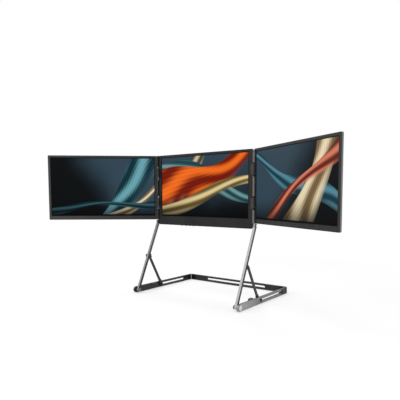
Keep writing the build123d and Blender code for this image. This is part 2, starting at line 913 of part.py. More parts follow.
def hinge_leaf(z, drop, nosed):
    """A hinge leaf in the wing's frame: two knuckles joined by a plate inside the wing."""
    plate_back = drop + wing_depth - wing_back_wall
    plate_front = plate_back - leaf_thickness
    leaf = block(leaf_inset, leaf_reach, plate_front, plate_back, z - hinge_stack, z + hinge_stack)
    for low, high in leaf_spans(z):
        leaf += block(-knuckle_radius, leaf_inset + overcut, plate_front, plate_back, low, high)
        leaf += block(-knuckle_radius, leaf_web - knuckle_radius, 0, plate_back, low, high)
        leaf += rod_z(0, 0, low, high, knuckle_radius)
        if nosed:
            leaf += knuckle_nose(low, high)
        leaf -= rod_z(0, 0, low - overcut, high + overcut, hinge_pin_radius + running_clearance)
    return leaf


def leaf_spans(z):
    """The heights of a leaf's two knuckles, above and below the hinge block."""
    start = hinge_block_height / 2 + knuckle_gap
    return [(z - start - knuckle_height, z - start), (z + start, z + start + knuckle_height)]


def wing_cover(drop):
    """The aluminium rear cover of a wing, with the slots for the hinge leaves."""
    x_low = wing_edge_gap
    x_high = x_low + wing_width
    y_low = drop + wing_bezel_thickness
    y_high = drop + wing_depth
    cover = tray(
        x_low,
        x_high,
        y_low,
        y_high,
        wing_z,
        wing_z + wing_height,
        wing_corner_radius,
        wing_wall,
        wing_back_wall,
    )
    slot_back = y_high - wing_back_wall
    slot_front = slot_back - leaf_thickness - cut_clearance / 2
    for z in hinge_heights:
        for low, high in leaf_spans(z):
            cover -= block(
                x_low - overcut,
                x_low + wing_wall + overcut / 2,
                slot_front,
                slot_back,
                low - cut_clearance / 2,
                high + cut_clearance / 2,
            )
    return cover


def wing_bezel(drop):
    """The dark front frame of a wing."""
    x_low = wing_edge_gap
    return frame(
        x_low,
        x_low + wing_width,
        drop,
        drop + wing_bezel_thickness,
        wing_z,
        wing_z + wing_height,
        wing_corner_radius,
        x_low + wing_inner_bezel,
        active_z,
    )


def wing_module(drop, start, thickness):
    """One flat layer of a wing display."""
    x_low = wing_edge_gap + wing_inner_bezel - display_border
    return block(
        x_low,
        x_low + active_width + 2 * display_border,
        drop + start,
        drop + start + thickness,
        active_z - display_border,
        active_z + active_height + display_border,
    )


def driver_board(drop):
    """The driver board along the bottom of a wing, on its rear cover."""
    middle = wing_edge_gap + wing_width / 2
    back = drop + wing_depth - wing_back_wall
    bottom = wing_z + wing_wall + cut_clearance
    return block(
        middle - driver_board_length / 2,
        middle + driver_board_length / 2,
        back - driver_board_thickness,
        back,
        bottom,
        bottom + driver_board_height,
    )


def save_wing(side, drop, gap, angle):
    """Write every piece of one wing and of its two hinges."""
    ahead = hinge_front(drop, gap)
    turn = to_left if side == "left" else (lambda shape: shape)
    module_start = wing_bezel_thickness + wing_display_thickness
    pieces = {
        "rear_cover": wing_cover(drop),
        "front_bezel": wing_bezel(drop),
        "display_panel": wing_module(drop, wing_bezel_thickness, wing_display_thickness),
        "backlight_tray": wing_module(drop, module_start, wing_backlight_thickness),
        "driver_board": driver_board(drop),
        "hinge_leaves": group([hinge_leaf(z, drop, side == "left") for z in hinge_heights]),
    }
    for name, shape in pieces.items():
        save(turn(place_wing(shape, ahead, angle)), f"{side}_wing_{name}")
    save(turn(group([hinge_block(z, ahead) for z in hinge_heights])), f"{side}_hinge_blocks")
    save(turn(group([hinge_pin(z, ahead) for z in hinge_heights])), f"{side}_hinge_pins")


def save_base():
    """Write the stand's base."""
    rail = side_rail()
    save(rail, "right_rail")
    save(to_left(rail), "left_rail")
    save(rear_rail(), "rear_rail")
    corner = corner_piece()
    save(corner, "right_corner")
    save(to_left(corner), "left_corner")
    screws = [side_screw(0), rear_screw(0)]
    save(group(screws + [to_left(screw) for screw in screws]), "corner_screws")
    pads = side_pads()
    save(group(pads + [to_left(pad) for pad in pads]), "side_pads")
    half_pad = pad_width / 2
    save(
        block(-rear_pad_length / 2, rear_pad_length / 2, -half_pad, half_pad, 0, pad_height), "rear_pad"
    )
    save(both_sides(strut_rest()), "strut_rests")
    save(both_sides(front_pin()), "front_pivot_pins")
    save(both_sides(front_spacer()), "front_spacers")


def save_struts():
    """Write the struts, the braces and what is fixed to them."""
    save(strut(), "right_strut")
    save(to_left(strut()), "left_strut")
    save(both_sides(brace_bracket()), "brace_brackets")
    save(both_sides(brace_pin()), "brace_pivot_pins")
    save(both_sides(bracket_knob()), "bracket_knobs")
    save(brace(), "right_brace")
    save(to_left(brace()), "left_brace")
    save(both_sides(brace_shoe()), "brace_shoes")
    save(both_sides(foot_pin()), "foot_pins")


def save_centre():
    """Write the centre screen and what is in it."""
    save(centre_cover(), "centre_rear_cover")
    save(centre_bezel(), "centre_front_bezel")
    save(centre_module(centre_bezel_thickness, centre_display_thickness), "centre_display_panel")
    tray_start = centre_bezel_thickness + centre_display_thickness
    save(centre_module(tray_start, centre_backlight_thickness), "centre_backlight_tray")
    save(group(left_strips()), "left_side_strips")
    save(both_sides(tilt_bracket()), "tilt_brackets")
    save(both_sides(tilt_pin()), "tilt_pins")
    save(both_sides(tilt_washer()), "tilt_washers")
    save(group([cover_screw(x, z, 0) for x, z in boss_places()]), "cover_screws")
    save(main_board(), "main_board")
    save(group([socket(x, usb_width, usb_height) for x in usb_x]), "usb_sockets")
    save(socket(video_x, video_width, video_height), "video_socket")
    save(both_sides(speaker()), "speakers")
    save(button_board(), "button_board")
    save(group([switch(x) for x in button_xs]), "button_switches")
    for name, x in zip(("power", "menu", "down", "up"), button_xs):
        save(button(x), f"{name}_button")


os.makedirs("parts", exist_ok=True)
save_base()
save_struts()
save_centre()
save_wing("right", right_hinge_drop, closed_gap, right_wing_angle)
save_wing("left", left_hinge_drop, closed_gap + wing_depth + stack_gap, left_wing_angle)
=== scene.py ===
import math

import bmesh
import bpy
from mathutils import Euler, Matrix, Vector


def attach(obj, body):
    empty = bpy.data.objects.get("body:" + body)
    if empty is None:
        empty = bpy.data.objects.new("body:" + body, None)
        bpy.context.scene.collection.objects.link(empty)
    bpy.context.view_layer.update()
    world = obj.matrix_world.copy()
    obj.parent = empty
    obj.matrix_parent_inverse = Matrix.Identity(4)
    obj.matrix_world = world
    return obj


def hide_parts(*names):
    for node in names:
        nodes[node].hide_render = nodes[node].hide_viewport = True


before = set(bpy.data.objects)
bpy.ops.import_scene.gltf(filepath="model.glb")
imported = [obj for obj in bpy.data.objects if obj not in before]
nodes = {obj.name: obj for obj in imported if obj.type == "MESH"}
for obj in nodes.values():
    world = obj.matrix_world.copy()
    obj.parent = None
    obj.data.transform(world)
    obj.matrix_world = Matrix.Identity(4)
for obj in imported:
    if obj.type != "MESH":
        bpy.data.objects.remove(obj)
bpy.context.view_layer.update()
bpy.ops.object.select_all(action="DESELECT")


# The viewpoint of the photograph: a little above the screens' bottom edge, from the front right, with a
# lens that is close to a normal one. The camera was fitted to the outlines of the screens and of the stand.
camera_place = (0.83102, -1.24656, 0.31571)
camera_turn = (math.radians(85.53), 0.0, math.radians(36.11))
bpy.ops.object.camera_add(location=camera_place, rotation=camera_turn)
camera = bpy.context.object
camera.name = "camera"
camera.data.sensor_width = 36.0
camera.data.lens = 38.22
camera.data.shift_x = -0.0433
camera.data.shift_y = 0.0750
camera.data.clip_start = 0.01
bpy.context.scene.camera = camera
bpy.context.scene.view_settings.view_transform = "Standard"


class Value:
    """A socket in a material's node tree that can be used in Python expressions."""

    def __init__(self, material, socket):
        self.material = material
        self.socket = socket

    def math(self, operation, *others):
        return self.material.node("ShaderNodeMath", {"operation": operation}, [self, *others])["Value"]

    def __add__(self, other):
        return self.math("ADD", other)

    __radd__ = __add__

    def __mul__(self, other):
        return self.math("MULTIPLY", other)

    __rmul__ = __mul__

    def __sub__(self, other):
        return self.math("SUBTRACT", other)

    def __rsub__(self, other):
        return self.material.number(other).math("SUBTRACT", self)

    def __truediv__(self, other):
        return self.math("DIVIDE", other)

    def sin(self):
        return self.math("SINE")

    def abs(self):
        return self.math("ABSOLUTE")

    def power(self, other):
        return self.math("POWER", other)

    def larger(self, other):
        return self.math("MAXIMUM", other)

    def smaller(self, other):
        return self.math("MINIMUM", other)

    def fract(self):
        return self.math("FRACT")

    def ramp(self, low, high):
        """0 below low, 1 above high, smooth between them."""
        settings = {"interpolation_type": "SMOOTHSTEP"}
        inputs = {"Value": self, "From Min": low, "From Max": high}
        return self.material.node("ShaderNodeMapRange", settings, inputs)["Result"]


class Material:
    """A procedural material with one Principled shader."""

    def __init__(self, name, **constants):
        self.data = bpy.data.materials.new(name)
        self.data.use_nodes = True
        self.tree = self.data.node_tree
        self.shader = self.tree.nodes["Principled BSDF"]
        self.output = self.tree.nodes["Material Output"]
        for socket, value in constants.items():
            self.shader.inputs[socket.replace("_", " ")].default_value = value

    def node(self, kind, settings=None, inputs=()):
        """The outputs, by name, of a new node whose settings are made before its sockets are fed."""
        made = self.tree.nodes.new(kind)
        for key, value in (settings or {}).items():
            setattr(made, key, value)
        pairs = inputs.items() if isinstance(inputs, dict) else enumerate(inputs)
        for key, value in pairs:
            self.feed(made.inputs[key], value)
        return {output.name: Value(self, output) for output in made.outputs if output.enabled}

    def feed(self, socket, value):
        if isinstance(value, Value):
            self.tree.links.new(value.socket, socket)
        else:
            socket.default_value = value

    def number(self, value):
        return self.node("ShaderNodeMath", {"operation": "ADD"}, [value, 0.0])["Value"]

    def set(self, socket, value):
        self.feed(self.shader.inputs[socket], value)

    def place(self, scale=(1, 1, 1), turn=(0, 0, 0), shift=(0, 0, 0)):
        """Object coordinates measured from a shifted, turned and scaled frame."""
        coordinates = self.node("ShaderNodeTexCoord")["Object"]
        inputs = {"Vector": coordinates, "Location": shift, "Rotation": turn, "Scale": scale}
        return self.node("ShaderNodeMapping", {"vector_type": "TEXTURE"}, inputs)["Vector"]

    def noise(self, vector, scale, detail, roughness):
        inputs = {"Vector": vector, "Scale": scale, "Detail": detail, "Roughness": roughness}
        return self.node("ShaderNodeTexNoise", {}, inputs)["Fac"]

    def mix(self, factor, low, high):
        """One colour that blends into another."""
        made = self.tree.nodes.new("ShaderNodeMix")
        made.data_type = "RGBA"
        self.feed(made.inputs["Factor"], factor)
        self.feed(made.inputs[6], low)
        self.feed(made.inputs[7], high)
        return Value(self, made.outputs[2])

    def split(self, vector):
        """The X, Y and Z of a vector."""
        return self.node("ShaderNodeSeparateXYZ", {}, [vector])

    def facing(self):
        """The way that the flat surface faces in the object's own frame, as X, Y and Z."""
        turned = self.node("ShaderNodeNewGeometry")["True Normal"]
        settings = {"vector_type": "NORMAL", "convert_from": "WORLD", "convert_to": "OBJECT"}
        return self.split(self.node("ShaderNodeVectorTransform", settings, [turned])["Vector"])

    def rounded(self, radius):
        """The surface's normal with the edges rounded off, for the light alone."""
        return self.node("ShaderNodeBevel", {"samples": 6}, {"Radius": radius})["Normal"]

    def edge(self, radius):
        """1 along the edges, where a finish wears, and 0 on the faces."""
        flat = self.node("ShaderNodeNewGeometry")["True Normal"]
        normals = [self.rounded(radius), flat]
        likeness = self.node("ShaderNodeVectorMath", {"operation": "DOT_PRODUCT"}, normals)["Value"]
        return (1 - likeness).ramp(0.02, 0.2)

    def bump(self, height, distance, strength, rounding=0.0):
        """Relief on the surface, and edges that catch the light as rounded ones do."""
        inputs = {"Height": height, "Distance": distance, "Strength": strength}
        if rounding:
            inputs["Normal"] = self.rounded(rounding)
        self.set("Normal", self.node("ShaderNodeBump", {}, inputs)["Normal"])

    def dress(self, *names):
        """Give this material to CAD nodes."""
        for name in names:
            mesh = nodes[name].data
            mesh.materials.clear()
            mesh.materials.append(self.data)


def tone(red, green, blue):
    """The linear colour of an 8-bit one."""
    return (*((channel / 255) ** 2.2 for channel in (red, green, blue)), 1.0)


def grey(level):
    """The linear colour of an 8-bit grey."""
    return tone(level, level, level)


# The studio: a white sweep that stays white to the eye, and soft lamps above, on the left and in front.
# Only the stand's shadow shows on the sweep, and it fades out away from the stand.
bpy.ops.mesh.primitive_plane_add(size=12.0, location=(0.0, 0.0, -0.0002))
floor = bpy.context.object
floor.name = "floor"
paper = Material("studio_paper", Roughness=0.9)
paper.set("Base Color", grey(215))
rays = paper.node("ShaderNodeLightPath")
seen = rays["Is Camera Ray"].larger(rays["Is Glossy Ray"]).larger(rays["Is Transmission Ray"])
glow = paper.node("ShaderNodeEmission", {}, {"Color": (1, 1, 1, 1), "Strength": 0.47})["Emission"]
shade = paper.node("ShaderNodeBsdfDiffuse", {}, {"Color": (0.62, 0.62, 0.62, 1)})["BSDF"]
near = paper.node("ShaderNodeAddShader", {}, [glow, shade])["Shader"]
far = paper.node("ShaderNodeEmission", {}, {"Color": (1, 1, 1, 1), "Strength": 1.0})["Emission"]
spread = paper.node("ShaderNodeVectorMath", {"operation": "LENGTH"}, [paper.place()])["Value"]
shadow_reach = (0.35, 1.0)
sweep = paper.node("ShaderNodeMixShader", {}, [spread.ramp(*shadow_reach), near, far])["Shader"]
paper_shader = Value(paper, paper.shader.outputs[0])
mixed = paper.node("ShaderNodeMixShader", {}, [seen, paper_shader, sweep])["Shader"]
paper.feed(paper.output.inputs["Surface"], mixed)
floor.data.materials.append(paper.data)

world = bpy.data.worlds.new("studio")
bpy.context.scene.world = world
world.use_nodes = True
sky = world.node_tree
background = sky.nodes["Background"]
path = sky.nodes.new("ShaderNodeLightPath")
plain = sky.nodes.new("ShaderNodeBackground")
plain.inputs["Color"].default_value = (1, 1, 1, 1)
plain.inputs["Strength"].default_value = 1.0
background.inputs["Color"].default_value = (1, 1, 1, 1)
background.inputs["Strength"].default_value = 0.45
reach = sky.nodes.new("ShaderNodeMath")
reach.operation = "MAXIMUM"
sky.links.new(path.outputs["Is Camera Ray"], reach.inputs[0])
sky.links.new(path.outputs["Is Glossy Ray"], reach.inputs[1])
choice = sky.nodes.new("ShaderNodeMixShader")
sky.links.new(reach.outputs[0], choice.inputs[0])
sky.links.new(background.outputs[0], choice.inputs[1])
sky.links.new(plain.outputs[0], choice.inputs[2])
sky.links.new(choice.outputs[0], sky.nodes["World Output"].inputs["Surface"])


def softbox(name, place, target, width, height, power):
    """A rectangular lamp that faces a point."""
    turn = (Vector(target) - Vector(place)).to_track_quat("-Z", "Y").to_euler()
    bpy.ops.object.light_add(type="AREA", location=place, rotation=turn)
    lamp = bpy.context.object
    lamp.name = name
    lamp.data.shape = "RECTANGLE"
    lamp.data.size = width
    lamp.data.size_y = height
    lamp.data.energy = power


set_middle = (0.0, -0.1, 0.2)
softbox("lamp_top", (0.0, -0.2, 2.4), set_middle, width=2.4, height=2.0, power=26.0)
softbox("lamp_left", (-2.0, -1.3, 1.2), set_middle, width=1.2, height=1.6, power=16.0)
softbox("lamp_front", (0.9, -2.4, 1.0), set_middle, width=1.6, height=1.2, power=8.0)


# The side rails and the rear rail: flat aluminium bars on edge, joined by the corners' tongues. The outer
# faces are anodised in a mid grey, with painted light towards the front, and the inner faces dark. The
# edges are worn paler with a painted highlight along the top, the front end faces carry painted shade on
# the left rail and painted light on the right, and the ends at the corners and the blind ends of the slots
# are black.
def surface(material, low, high, wear_and_highlight, rough, grain_size, depth, rounding):
    """A hard surface in use: clouded colour, grain in its gloss and relief, and paler edges."""
    spot = material.place()
    grain = material.noise(spot, 1 / grain_size, 3.0, 0.6)
    cloud = material.noise(spot, 11.0, 3.0, 0.55)
    handled = material.noise(spot, 60.0, 5.0, 0.65)
    edge = material.edge(rounding) * handled.ramp(0.3, 0.6)
    colour = material.mix(cloud.ramp(0.3, 0.7), low, high)
    colour = material.mix(edge, colour, wear_and_highlight)
    material.set("Base Color", colour)
    material.set("Roughness", grain * 0.14 + handled.ramp(0.35, 0.75) * 0.1 + (rough - 0.12))
    material.bump(grain, depth, 0.6, rounding)
    return colour, edge


faces_that_way = (0.4, 0.8)
front_light_span = (-0.29, -0.17)
sleeve_start = -0.0446
recess_start = -0.0466
recess_floor = 0.2056
# The front end faces are painted dark as shade on the left rail and pale as light on the right one.
for name, painted_end_light in (("left_rail", grey(40)), ("right_rail", grey(150))):
    rail = Material(f"{name}_anodised", Metallic=0.5)
    colour, edge = surface(rail, grey(122), grey(134), grey(205),
                           rough=0.42, grain_size=0.0011, depth=0.00008, rounding=0.0009)
    spot = rail.split(rail.place())
    facing = rail.facing()
    outward = facing["X"] * spot["X"].math("SIGN")
    # Painted light that brightens the outer faces towards the front.
    painted_front_light = (1 - spot["Y"].ramp(*front_light_span)) * 0.6
    outer = rail.mix(painted_front_light, colour, grey(192))
    inner = rail.mix(edge * 0.5, grey(50), grey(130))
    # The top faces' paler edges are wear and a painted highlight.
    top = rail.mix(edge, grey(84), grey(214))
    coat = rail.mix(facing["Z"].abs().ramp(*faces_that_way), inner, top)
    coat = rail.mix((0 - facing["Y"]).ramp(*faces_that_way), coat, painted_end_light)
    coat = rail.mix(outward.ramp(*faces_that_way), coat, outer)
    recess = 1 - spot["X"].abs().ramp(recess_floor, recess_floor + 0.0004)
    recess = recess * spot["Y"].ramp(recess_start, recess_start + 0.0001)
    sleeve = spot["Y"].ramp(sleeve_start, sleeve_start + 0.0004).larger(recess)
    black = rail.mix(edge, grey(30), grey(176))
    rail.set("Base Color", rail.mix(sleeve, coat, black))
    rail.dress(name)

rear_paint = Material("rear_rail_anodised", Metallic=0.5)
colour, edge = surface(rear_paint, grey(122), grey(134), grey(205),
                       rough=0.42, grain_size=0.0011, depth=0.00008, rounding=0.0009)
facing = rear_paint.facing()
inner = rear_paint.mix(edge * 0.5, grey(46), grey(120))
# The top faces' paler edges are wear and a painted highlight.
top = rear_paint.mix(edge, grey(80), grey(200))
coat = rear_paint.mix(facing["Z"].abs().ramp(*faces_that_way), inner, top)
rear_paint.set("Base Color", rear_paint.mix(facing["Y"].ramp(*faces_that_way), coat, colour))
rear_paint.dress("rear_rail")


# The rear corners: bent aluminium castings with a tongue into each rail, held by a screw in each tongue and
# painted black. The paint is rubbed off along the edges, which show the bare metal, and a painted highlight
# runs down the inner bend.
corner_paint = Material("corner_casting", Metallic=0.4, Specular_IOR_Level=0.3)
colour, _ = surface(corner_paint, grey(26), grey(34), grey(196),
                    rough=0.4, grain_size=0.0009, depth=0.0001, rounding=0.0011)
facing = corner_paint.facing()
# A painted highlight down the inner bend.
painted_bend_highlight = facing["X"].abs().ramp(0.3, 0.5) * (0 - facing["Y"]).ramp(0.3, 0.5)
corner_paint.set("Base Color", corner_paint.mix(painted_bend_highlight * 0.9, colour, grey(214)))
corner_paint.dress("left_corner", "right_corner")


# The pads under the rails: strips of black rubber, glued along the bars so that the stand doesn't slide or
# scratch the desk. They are dusty and scuffed.
pad_rubber = Material("pad_rubber", Specular_IOR_Level=0.3)
surface(pad_rubber, grey(24), grey(36), grey(70),
        rough=0.8, grain_size=0.0007, depth=0.00012, rounding=0.0006)
pad_rubber.dress("side_pads", "rear_pad")


# The rests for the folded struts: moulded plastic blocks fixed to the insides of the rails, with a fine
# spark texture and top faces that are painted paler as light.
rest_plastic = Material("rest_plastic", Specular_IOR_Level=0.4)
colour, _ = surface(rest_plastic, grey(40), grey(54), grey(120),
                    rough=0.55, grain_size=0.0006, depth=0.0001, rounding=0.0006)
# The top faces are painted paler as light.
painted_top_light = rest_plastic.facing()["Z"].ramp(0.3, 0.9)
rest_plastic.set("Base Color", rest_plastic.mix(painted_top_light, colour, grey(84)))
rest_plastic.dress("strut_rests")


# The struts: square aluminium bars on the pins at the rails' front ends, brushed along their length. The
# front and back faces are satin, the two sides carry painted shade that is deepest low down, and the left
# strut is painted darker than the right one as shade. The eyes at their tops carry painted shade round the
# tilt pins.
strut_turn = (math.radians(66.0), 0.0, 0.0)
side_shade_heights = (0.06, 0.2)
eye_shade_span = (0.2256, 0.2286)
# The left strut's tones are painted darker than the right one's as shade, and the sides' tones are painted
# shade.
for name, face_tones_lit_and_shaded, side_shade_tones, painted_eye_shade in (("left_strut", (108, 124), (44, 88), 20),
                                               ("right_strut", (162, 182), (40, 54), 40)):
    strut_metal = Material(f"{name}_aluminium", Metallic=0.7)
    brushing = strut_metal.noise(strut_metal.place((0.35, 24.0, 0.35), strut_turn), 900.0, 3.0, 0.6)
    handling = strut_metal.noise(strut_metal.place(), 45.0, 5.0, 0.65)
    strut_edge = strut_metal.edge(0.0007)
    height = strut_metal.split(strut_metal.place())["Z"]
    streak = brushing.ramp(0.25, 0.75)
    face = strut_metal.mix(streak, grey(face_tones_lit_and_shaded[0]), grey(face_tones_lit_and_shaded[1]))
    # Painted shade on the sides, deepest low down.
    side = strut_metal.mix(height.ramp(*side_shade_heights), grey(side_shade_tones[0]), grey(side_shade_tones[1]))
    side = strut_metal.mix(streak * 0.12, side, face)
    sideways = strut_metal.facing()["X"].abs().ramp(0.35, 0.75)
    # Painted shade round the tilt pins in the eyes.
    eye_shade_mask = height.ramp(*eye_shade_span)
    strut_colour = strut_metal.mix(sideways, face, side)
    strut_colour = strut_metal.mix(eye_shade_mask * (sideways * 0.6 + 0.35), strut_colour, grey(painted_eye_shade))
    strut_metal.set("Base Color", strut_metal.mix(strut_edge * 0.5, strut_colour, grey(face_tones_lit_and_shaded[1] + 24)))
    strut_metal.set("Roughness", brushing * 0.16 + handling.ramp(0.4, 0.8) * 0.1 + 0.3)
    strut_metal.bump(brushing, 0.00005, 0.5, 0.0014)
    strut_metal.dress(name)


# The brackets behind the struts and the braces: pressed steel on the braces' pivots, with a black powder
# coat that is worn to a grey line along the edges.
powder = Material("powder_coat", Specular_IOR_Level=0.45, Metallic=0.2)
surface(powder, grey(44), grey(58), grey(132),
        rough=0.48, grain_size=0.0008, depth=0.00014, rounding=0.0006)
powder.dress("brace_brackets", "left_brace", "right_brace")


# The shoes at the braces' feet: black plastic moulded round the foot pins, which slides along the rails'
# slots and is paler along the edges that rub.
shoe_plastic = Material("shoe_plastic", Specular_IOR_Level=0.3)
surface(shoe_plastic, grey(24), grey(34), grey(104),
        rough=0.4, grain_size=0.0006, depth=0.00005, rounding=0.0006)
shoe_plastic.dress("brace_shoes")


# The round knobs beside the struts: turned metal discs on the brackets, blackened on the outer face and
# bare grey behind it.
knob_metal = Material("knob_metal", Specular_IOR_Level=0.25)
colour, edge = surface(knob_metal, grey(12), grey(18), grey(64),
                       rough=0.36, grain_size=0.0006, depth=0.00005, rounding=0.0006)
outside = knob_metal.facing()["X"] * knob_metal.split(knob_metal.place())["X"].math("SIGN")
bare = knob_metal.mix(edge, grey(120), grey(170))
knob_metal.set("Base Color", knob_metal.mix(outside.ramp(-0.2, 0.2), bare, colour))
knob_metal.dress("bracket_knobs")


# The pivot pins at the rails' front ends and at the screen: turned steel, pressed in, bright on the outer
# end faces with fine marks from the lathe, and duller round the rims and on the inner ends.
pin_steel = Material("pin_steel", Metallic=0.8)
turning = pin_steel.noise(pin_steel.place((0.2, 1, 1)), 1400.0, 3.0, 0.6)
smear = pin_steel.noise(pin_steel.place(), 90.0, 4.0, 0.6)
pin_facing = pin_steel.facing()["X"]
end_face = pin_facing.abs().ramp(0.6, 0.9)
pin_spot = pin_steel.split(pin_steel.place())
outward = (pin_facing * pin_spot["X"].math("SIGN")).ramp(-0.5, 0.5)
pin_colour = pin_steel.mix(smear.ramp(0.3, 0.7), grey(212), grey(234))
pin_colour = pin_steel.mix(outward, grey(112), pin_colour)
rim_colour = pin_steel.mix(smear.ramp(0.3, 0.7), grey(70), grey(96))
pin_colour = pin_steel.mix(end_face, rim_colour, pin_colour)
pin_steel.set("Base Color", pin_steel.mix(pin_steel.edge(0.0005) * 0.6, pin_colour, grey(226)))
pin_steel.set("Roughness", turning * 0.16 + smear.ramp(0.4, 0.8) * 0.1 + 0.24)
pin_steel.bump(turning, 0.00004, 0.5, 0.0004)
pin_steel.dress("front_pivot_pins", "tilt_pins")


# The pins in the rails' slots, in the braces' upper ends and in the screen hinges: steel with a black
# oxide, oiled, and rubbed grey on the rims.
oxide = Material("black_oxide", Metallic=0.5, Specular_IOR_Level=0.3)
surface(oxide, grey(20), grey(30), grey(112),
        rough=0.36, grain_size=0.0005, depth=0.00003, rounding=0.0005)
oxide.dress("foot_pins", "brace_pivot_pins", "left_hinge_pins", "right_hinge_pins")


# The washers and the spacers on the pins: black nylon rings with a waxy gloss, loose between the rails and
# the struts and between the struts' eyes and the chin.
nylon = Material("nylon", Specular_IOR_Level=0.2)
surface(nylon, grey(10), grey(18), grey(48),
        rough=0.42, grain_size=0.0005, depth=0.00004, rounding=0.0004)
nylon.dress("front_spacers", "tilt_washers")


# The covers behind the screens: deep-drawn aluminium trays that close the frames from behind, blasted to a
# fine even grain and anodised in silver, with polished edges. The wings' covers carry painted shade, near
# black, on the side of the hinges. The centre one's silver is painted darker than the wings' as shade, and
# it has a grille of small holes behind each speaker and a row of air slots.
for name, to_hinge in (("left_wing_rear_cover", 1), ("right_wing_rear_cover", -1)):
    cover_metal = Material(f"{name}_aluminium", Metallic=0.85)
    colour, _ = surface(cover_metal, grey(119), grey(125), grey(168),
                        rough=0.42, grain_size=0.0005, depth=0.00005, rounding=0.0008)
    # Painted shade, near black, on the side that faces the hinge.
    painted_hinge_shade = (cover_metal.facing()["X"] * to_hinge).ramp(0.6, 0.7)
    cover_metal.set("Base Color", cover_metal.mix(painted_hinge_shade, colour, grey(24)))
    cover_metal.dress(name)

speaker_side = 0.1286
speaker_height = 0.2314
grille_pitch = 0.0024
grille_half_width = 0.026
grille_half_height = 0.0055
hole_rim = (0.24, 0.32)
vent_height = 0.4380
vent_pitch = 0.0045
vent_half_width = 0.060
vent_half_height = 0.0035
slot_rim = (0.16, 0.24)
# The centre cover's silver is painted darker than the wings' as shade in the gaps by the hinges.
back_metal = Material("centre_cover_aluminium", Metallic=0.85)
shaded_back_colour, _ = surface(back_metal, grey(108), grey(114), grey(156),
                         rough=0.42, grain_size=0.0005, depth=0.00005, rounding=0.0008)
spot = back_metal.split(back_metal.place())
rearward = back_metal.facing()["Y"].ramp(0.8, 0.9)
beside = spot["X"].abs() - speaker_side
above = spot["Z"] - speaker_height
within = 1 - beside.abs().ramp(grille_half_width, grille_half_width + 0.0001)
within = within * (1 - above.abs().ramp(grille_half_height, grille_half_height + 0.0001))
cell_x = (beside * (1 / grille_pitch)).fract() - 0.5
cell_z = (above * (1 / grille_pitch)).fract() - 0.5
hole = (1 - (cell_x * cell_x + cell_z * cell_z).power(0.5).ramp(*hole_rim)) * within
slot_x = ((spot["X"] * (1 / vent_pitch)).fract() - 0.5).abs()
slot_z = (spot["Z"] - vent_height).abs()
slots = (1 - slot_x.ramp(*slot_rim)) * (1 - slot_z.ramp(vent_half_height - 0.0003, vent_half_height))
slots = slots * (1 - spot["X"].abs().ramp(vent_half_width, vent_half_width + 0.0001))
opening = hole.larger(slots) * rearward
back_metal.set("Base Color", back_metal.mix(opening, shaded_back_colour, grey(14)))
back_metal.set("Metallic", 0.85 - opening * 0.85)
back_grain = back_metal.noise(back_metal.place(), 2000.0, 3.0, 0.6)
back_metal.bump(back_grain * 0.06 - opening, 0.0007, 0.8, 0.0008)
back_metal.dress("centre_rear_cover")


# The frames in front of the screens: matt black plastic with a fine grain, clipped into the covers. Their
# outer edges are worn paler, and a black lip runs round the lit area. Each frame's tone carries painted
# light and shade; the left wing's frame is painted paler towards its outer end as light, and the right
# wing's black lip is widened over its hinge side as painted shade.
lit_width = 0.3442
lit_height = 0.1936
lit_bottom = 0.252295
hinge_side = 0.1879
right_turn = math.radians(-28.4)
left_turn = math.radians(40.0)


def wing_corner(hinge_x, hinge_y, turn, across, back):
    """The lower left corner of a wing's lit area, from the place of its hinge and the wing's turn."""
    x = hinge_x + across * math.cos(turn) - back * math.sin(turn)
    y = hinge_y + across * math.sin(turn) + back * math.cos(turn)
    return (x, y, lit_bottom)


screens = {
    "centre": ((-lit_width / 2, -0.18927, lit_bottom), 0.0),
    "right_wing": (wing_corner(hinge_side, -0.18837, right_turn, 0.0097, 0.0039), right_turn),
    "left_wing": (wing_corner(-hinge_side, -0.19477, left_turn, -0.3539, 0.0043), left_turn),
}
lip_edge = (0.0014, 0.0018)
# The frames' tones carry painted light and shade: darkest on the centre, palest on the left wing.
bezel_light_and_shade_tones = {"centre": 33, "right_wing": 40, "left_wing": 50}
for name, (corner, turn) in screens.items():
    bezel = Material(f"{name}_frame_plastic", Specular_IOR_Level=0.22)
    low = bezel_light_and_shade_tones[name]
    colour, _ = surface(bezel, grey(low), grey(low + 8), grey(104),
                        rough=0.55, grain_size=0.0006, depth=0.00006, rounding=0.0007)
    spot = bezel.split(bezel.place((1, 1, 1), (0, 0, turn), corner))
    beyond_x = (spot["X"] - lit_width / 2).abs() - lit_width / 2
    beyond_z = (spot["Z"] - lit_height / 2).abs() - lit_height / 2
    lip = 1 - beyond_x.larger(beyond_z).ramp(*lip_edge)
    # The right wing's frame is painted black on its hinge side as shade.
    if name == "right_wing":
        lip = lip.larger(1 - spot["X"].ramp(-0.0004, 0.0))
    if name == "left_wing":
        # The left wing's frame is painted paler towards its outer end as light.
        colour = bezel.mix((1 - spot["X"].ramp(-0.01, 0.34)) * 0.7, colour, grey(80))
    bezel.set("Base Color", bezel.mix(lip, colour, grey(12)))
    bezel.dress(f"{name}_front_bezel")


